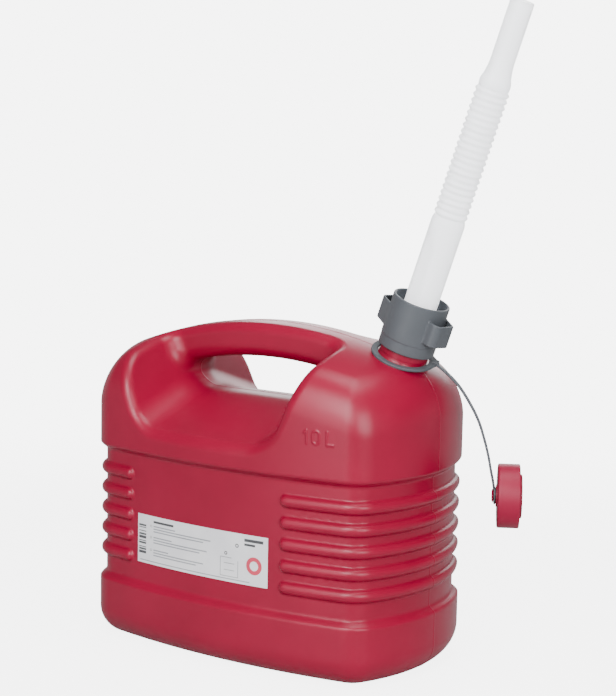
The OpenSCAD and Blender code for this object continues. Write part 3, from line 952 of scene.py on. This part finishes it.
def make_neck():
    """The neck with its thread, standing on the tank's top."""
    around, rows = 180, 90
    low, high = 0.001, NECK_HEIGHT
    points, faces = [], []
    for k in range(around):
        turn = 2 * math.pi * k / around
        for j in range(rows + 1):
            z = low + (high - low) * j / rows
            height = (z - THREAD_START) / THREAD_LEAD - turn / (2 * math.pi)
            lap = min(max(round(height), 0), 1)
            off = abs(height - lap) * THREAD_LEAD
            along = lap + turn / (2 * math.pi)
            ends = min(along * 6, (THREAD_TURNS - along) * 6, 1)
            ridge = THREAD_DEPTH * max(min((0.0017 - off) / 0.0007, 1), 0) * max(ends, 0)
            r = NECK_R + ridge
            points.append((r * math.cos(turn), r * math.sin(turn), z))
        for r, z in (
            (NECK_R - 0.0004, high + 0.0003), (NECK_R - NECK_WALL + 0.0003, high + 0.0003),
            (NECK_R - NECK_WALL, high), (NECK_R - NECK_WALL, low),
        ):
            points.append((r * math.cos(turn), r * math.sin(turn), z))
    count = rows + 5
    for k in range(around):
        a, b = k * count, (k + 1) % around * count
        for j in range(count):
            i = (j + 1) % count
            faces.append((a + j, b + j, b + i, a + i))
    neck = add_mesh("tank_neck_thread", points, faces, "can", "red_plastic", RED, ON_NECK)
    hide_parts("tank_neck")


# ---------------------------------------------------------------- label


def label_point(x, z, lift):
    """A point over the front of the waist."""
    inset = WAIST_DEPTH - lift
    reach = FRONT_R - inset
    return Vector((x, -(FRONT.y + math.sqrt(reach * reach - x * x)), z))


def patch(x0, x1, z0, z1, lift):
    """Points and faces of a thin rectangle wrapped on the waist."""
    steps = max(2, int((x1 - x0) / 0.004))
    points = []
    for k in range(steps + 1):
        x = x0 + (x1 - x0) * k / steps
        points += [label_point(x, z, lift) for z in (z0, z1)]
    faces = [(2 * k, 2 * k + 2, 2 * k + 3, 2 * k + 1) for k in range(steps)]
    return points, faces


def merged(parts):
    """The points and faces of several patches as one mesh."""
    points, faces = [], []
    for p, f in parts:
        base = len(points)
        points += p
        faces += [tuple(i + base for i in q) for q in f]
    return points, faces


def disc(x, z, r, lift, inner=0.0, steps=24):
    """A flat disc or ring wrapped on the waist."""
    points, faces = [], []
    for k in range(steps + 1):
        t = 2 * math.pi * k / steps
        for reach in (inner, r):
            points.append(label_point(x + reach * math.cos(t), z + reach * math.sin(t), lift))
    for k in range(steps):
        faces.append((2 * k, 2 * k + 1, 2 * k + 3, 2 * k + 2))
    return points, faces


def make_label():
    x0, x1 = LABEL_X
    z0, z1 = LABEL_Z
    steps = 48
    points, faces = [], []
    for k in range(steps + 1):
        x = x0 + (x1 - x0) * k / steps
        points += [
            label_point(x, z0, -0.0002), label_point(x, z0, LABEL_THICK),
            label_point(x, z1, LABEL_THICK), label_point(x, z1, -0.0002),
        ]
    for k in range(steps):
        for j in range(4):
            a, b = 4 * k + j, 4 * k + (j + 1) % 4
            faces.append((a, a + 4, b + 4, b))
    faces += [(0, 1, 2, 3), tuple(4 * steps + j for j in (3, 2, 1, 0))]
    sticker = add_mesh(
        "label_sticker", points, faces, "can", "label_film", FILM, smooth=False
    )
    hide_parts("front_label")
    lift = LABEL_THICK + 0.00004
    dark, pale = [], []
    # A block of plain bars up the left edge.
    widths = (3, 1, 2, 1, 1, 3, 2, 1, 1, 2, 3, 1, 2, 2, 1, 3, 1, 1, 2, 1)
    z = z0 + 0.0085
    for k, w in enumerate(widths):
        if k % 2 == 0:
            dark.append(patch(x0 + 0.0015, x0 + 0.0105, z, z + w * 0.0008, lift))
        z += w * 0.0008
    # Three blocks of plain grey lines.
    for block, top in enumerate((z1 - 0.0085, z1 - 0.0185, z1 - 0.0300)):
        dark.append(disc(x0 + 0.0165, top - 0.0008, 0.0011, lift, 0.0008))
        for row in range(3):
            reach = (0.026, 0.066, 0.058)[row] - 0.004 * block
            low = top - 0.0011 - row * 0.0024
            pale.append(patch(x0 + 0.0195, x0 + 0.0195 + reach, low, low + 0.0011, lift))
    dark.append(patch(x0 + 0.0195, x0 + 0.0435, z1 - 0.0060, z1 - 0.0040, lift))
    pale.append(patch(x0 + 0.003, x1 - 0.018, z0 + 0.0022, z0 + 0.0030, lift))
    # A plain outline of a can, with a round mark over it.
    cx, cz = x1 - 0.0485, z0 + 0.0045
    for a, b, c, d in (
        (0, 0.019, 0, 0.0006), (0, 0.0006, 0, 0.017), (0.0184, 0.019, 0, 0.015),
        (0, 0.012, 0.0165, 0.0171), (0.004, 0.015, 0.0055, 0.0061), (0.004, 0.015, 0.0115, 0.0121),
    ):
        pale.append(patch(cx + a, cx + b, cz + c, cz + d, lift))
    dark.append(disc(cx + 0.006, cz + 0.0205, 0.0016, lift, 0.0008))
    dark.append(disc(cx + 0.0175, cz + 0.0285, 0.0018, lift, 0.0009))
    # Two plain bars, and a plain round mark.
    dark.append(patch(x1 - 0.0235, x1 - 0.0045, z1 - 0.0062, z1 - 0.0036, lift))
    dark.append(patch(x1 - 0.0235, x1 - 0.0125, z1 - 0.0098, z1 - 0.0078, lift))
    for name, parts, ink in (("label_dark_print", dark, INK), ("label_pale_print", pale, PALE_INK)):
        add_mesh(name, *merged(parts), "can", "label_film", ink, smooth=False)
    red = [disc(x1 - 0.0135, z0 + 0.0175, 0.0078, lift, 0.0042, 48)]
    add_mesh("label_red_print", *merged(red), "can", "label_film", RED_INK, smooth=False)


# ---------------------------------------------------------------- stage

FLOOR_R = 1.1
FLOOR_GLOW = 5.0
FLOOR_FADE = (0.45, 1.1)
BACKDROP_LEVEL = 6.5
# The room's brightness against the height that a ray points at.
ROOM_LEVELS = ((0.0, 0.7), (0.10, 0.7), (0.30, 0.2), (1.0, 0.3))
# Each light's name, place, aim, width, height and power, and whether it shows only in the gloss.
LIGHTS = (
    ("overhead", (0.3, -0.1, 1.9), (0, 0, 0.15), 1.0, 1.0, 27, False),
    ("fill", (0.4, -1.6, 1.2), (0, 0, 0.15), 1.0, 1.0, 42, False),
    ("side", (1.5, -0.9, 0.7), (0.1, 0, 0.15), 0.9, 0.9, 27, False),
    ("chest", (0.0, -1.40, 0.65), (0.08, 0, 0.22), 0.8, 1.6, 20, True),
    ("rim", (-0.6, 1.9, 0.9), (0, 0, 0.2), 1.6, 0.8, 20, False),
)


def make_floor():
    """A pale disc that fades out at its rim. Its glow is seen by the camera and lights nothing."""
    points = [(0, 0, 0)]
    faces = []
    count = 96
    for k in range(count):
        turn = 2 * math.pi * k / count
        points.append((FLOOR_R * math.cos(turn), FLOOR_R * math.sin(turn), 0))
    for k in range(count):
        faces.append((0, k + 1, (k + 1) % count + 1))
    n = Nodes("pale_floor")
    stops = [(0.3, (0.42, 0.42, 0.42)), (0.7, (0.46, 0.46, 0.46))]
    n.link(n.ramp(n.noise(3, 2), stops), n.shader.inputs["Base Color"])
    n.set(Roughness=0.7, Emission_Color=(1, 1, 1, 1))
    path = n.tree.nodes.new("ShaderNodeLightPath")
    glow = n.tree.nodes.new("ShaderNodeMath")
    glow.operation = "MULTIPLY"
    glow.inputs[1].default_value = FLOOR_GLOW
    n.link(path.outputs["Is Camera Ray"], glow.inputs[0])
    n.link(glow.outputs["Value"], n.shader.inputs["Emission Strength"])
    reach = n.tree.nodes.new("ShaderNodeVectorMath")
    reach.operation = "LENGTH"
    n.link(n.place, reach.inputs[0])
    fade = n.tree.nodes.new("ShaderNodeMapRange")
    fade.interpolation_type = "SMOOTHSTEP"
    for name, value in zip(("From Min", "From Max", "To Min", "To Max"), (*FLOOR_FADE, 1, 0)):
        fade.inputs[name].default_value = value
    n.link(reach.outputs["Value"], fade.inputs["Value"])
    n.link(fade.outputs["Result"], n.shader.inputs["Alpha"])
    add_mesh("floor", points, faces, material=n.material, smooth=False)


def soft_light(name, spot, aim, width, height, power, gloss_only):
    data = bpy.data.lights.new(name, "AREA")
    data.shape = "RECTANGLE"
    data.size = width
    data.size_y = height
    data.energy = power
    light = bpy.data.objects.new(name, data)
    light.visible_camera = False
    light.visible_diffuse = not gloss_only
    light.location = spot
    light.rotation_euler = (Vector(aim) - Vector(spot)).to_track_quat("-Z", "Y").to_euler()
    bpy.context.scene.collection.objects.link(light)


def make_world():
    """A pale room: greyer overhead, and white where it is seen directly or through plastic."""
    world = bpy.data.worlds.new("room")
    world.use_nodes = True
    tree = world.node_tree
    background = tree.nodes["Background"]
    place = tree.nodes.new("ShaderNodeTexCoord")
    split = tree.nodes.new("ShaderNodeSeparateXYZ")
    ramp = tree.nodes.new("ShaderNodeValToRGB")
    for _ in ROOM_LEVELS[2:]:
        ramp.color_ramp.elements.new(0.5)
    for element, (spot, level) in zip(ramp.color_ramp.elements, ROOM_LEVELS):
        element.position = spot
        element.color = (level, level, level, 1)
    path = tree.nodes.new("ShaderNodeLightPath")
    seen = tree.nodes.new("ShaderNodeBackground")
    seen.inputs["Color"].default_value = (1, 1, 1, 1)
    seen.inputs["Strength"].default_value = BACKDROP_LEVEL
    mix = tree.nodes.new("ShaderNodeMixShader")
    tree.links.new(place.outputs["Generated"], split.inputs["Vector"])
    tree.links.new(split.outputs["Z"], ramp.inputs["Fac"])
    tree.links.new(ramp.outputs["Color"], background.inputs["Color"])
    through = tree.nodes.new("ShaderNodeMath")
    through.operation = "MAXIMUM"
    tree.links.new(path.outputs["Is Camera Ray"], through.inputs[0])
    tree.links.new(path.outputs["Is Transmission Ray"], through.inputs[1])
    tree.links.new(through.outputs["Value"], mix.inputs["Fac"])
    tree.links.new(background.outputs["Background"], mix.inputs[1])
    tree.links.new(seen.outputs["Background"], mix.inputs[2])
    tree.links.new(mix.outputs["Shader"], tree.nodes["World Output"].inputs["Surface"])
    bpy.context.scene.world = world


make_camera()
strap, strap_path, eyelet = make_tether()
cap = make_cap()
make_tank()
make_label()
make_collar()
make_spout()
make_gaskets()
make_floor()
make_world()
for light in LIGHTS:
    soft_light(*light)
